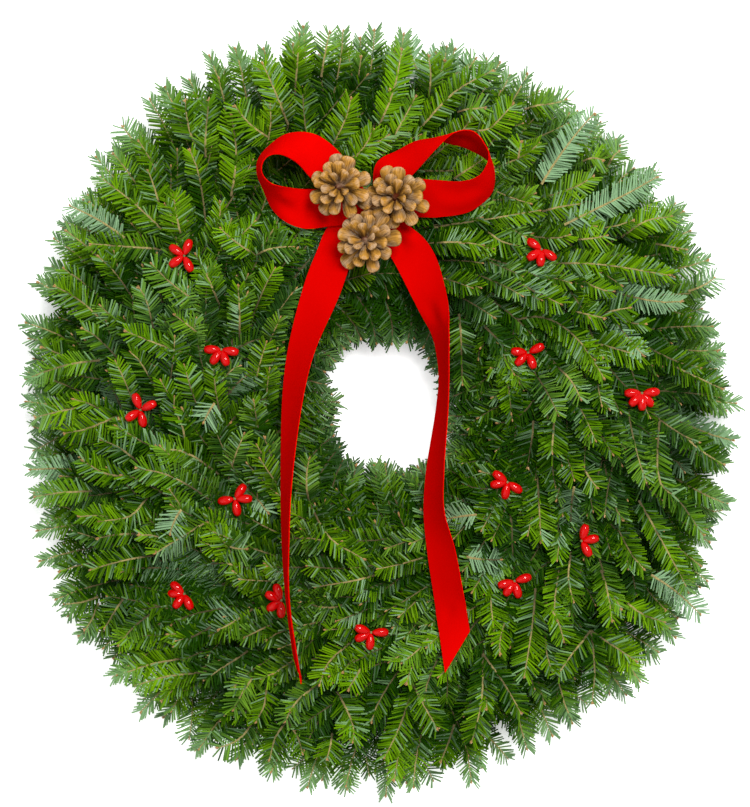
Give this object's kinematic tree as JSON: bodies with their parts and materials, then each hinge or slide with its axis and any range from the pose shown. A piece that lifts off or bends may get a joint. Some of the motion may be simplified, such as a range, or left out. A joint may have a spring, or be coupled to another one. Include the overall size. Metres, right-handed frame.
{
  "type": "evergreen wreath",
  "caption": "Fresh fir wreath bound to a crimped wire ring, with a red ribbon bow, pine cones and berry picks, lying on its back.",
  "frame": {"origin": "on the surface the wreath lies on, below the middle of its outline", "axes": "+Z out of the wreath's face, +Y to the bow at 12 o'clock, +X to the right of the bow seen from the front"},
  "size_m": [0.5799, 0.6095, 0.1104],
  "materials": {
    "fir": "fresh balsam fir, deep green above and silvery blue-green below, on tan twigs",
    "green_wire": "dark green lacquered steel wire",
    "ribbon": "saturated red velvet, matt with a soft sheen",
    "cone": "dry open pine cone, tan scale ends and dark brown depths",
    "berry": "high gloss lacquered red berries"
  },
  "bodies": {
    "root": {"fir_bunch_01": "fir", "fir_bunch_02": "fir", "fir_bunch_03": "fir", "fir_bunch_04": "fir", "fir_bunch_05": "fir", "fir_bunch_06": "fir", "fir_bunch_07": "fir", "fir_bunch_08": "fir", "fir_bunch_09": "fir", "fir_bunch_10": "fir", "fir_bunch_11": "fir", "fir_bunch_12": "fir", "fir_bunch_13": "fir", "fir_bunch_14": "fir", "fir_bunch_15": "fir", "fir_bunch_16": "fir", "fir_bunch_17": "fir", "fir_bunch_18": "fir", "fir_bunch_19": "fir", "fir_bunch_20": "fir", "fir_bunch_21": "fir", "fir_bunch_22": "fir", "fir_bunch_23": "fir", "fir_bunch_24": "fir", "fir_bunch_25": "fir", "fir_bunch_26": "fir", "fir_bunch_27": "fir", "fir_bunch_28": "fir", "wire_ring": "green_wire", "binding_wire": "green_wire", "bow_tie": "green_wire", "bow_ribbon": "ribbon", "pine_cone_left": "cone", "pine_cone_right": "cone", "pine_cone_low": "cone", "berry_pick_01": "berry", "berry_pick_02": "berry", "berry_pick_03": "berry", "berry_pick_04": "berry", "berry_pick_05": "berry", "berry_pick_06": "berry", "berry_pick_07": "berry", "berry_pick_08": "berry", "berry_pick_09": "berry", "berry_pick_10": "berry", "berry_pick_11": "berry", "berry_pick_12": "berry", "berry_pick_13": "berry"}
  },
  "joints": []
}
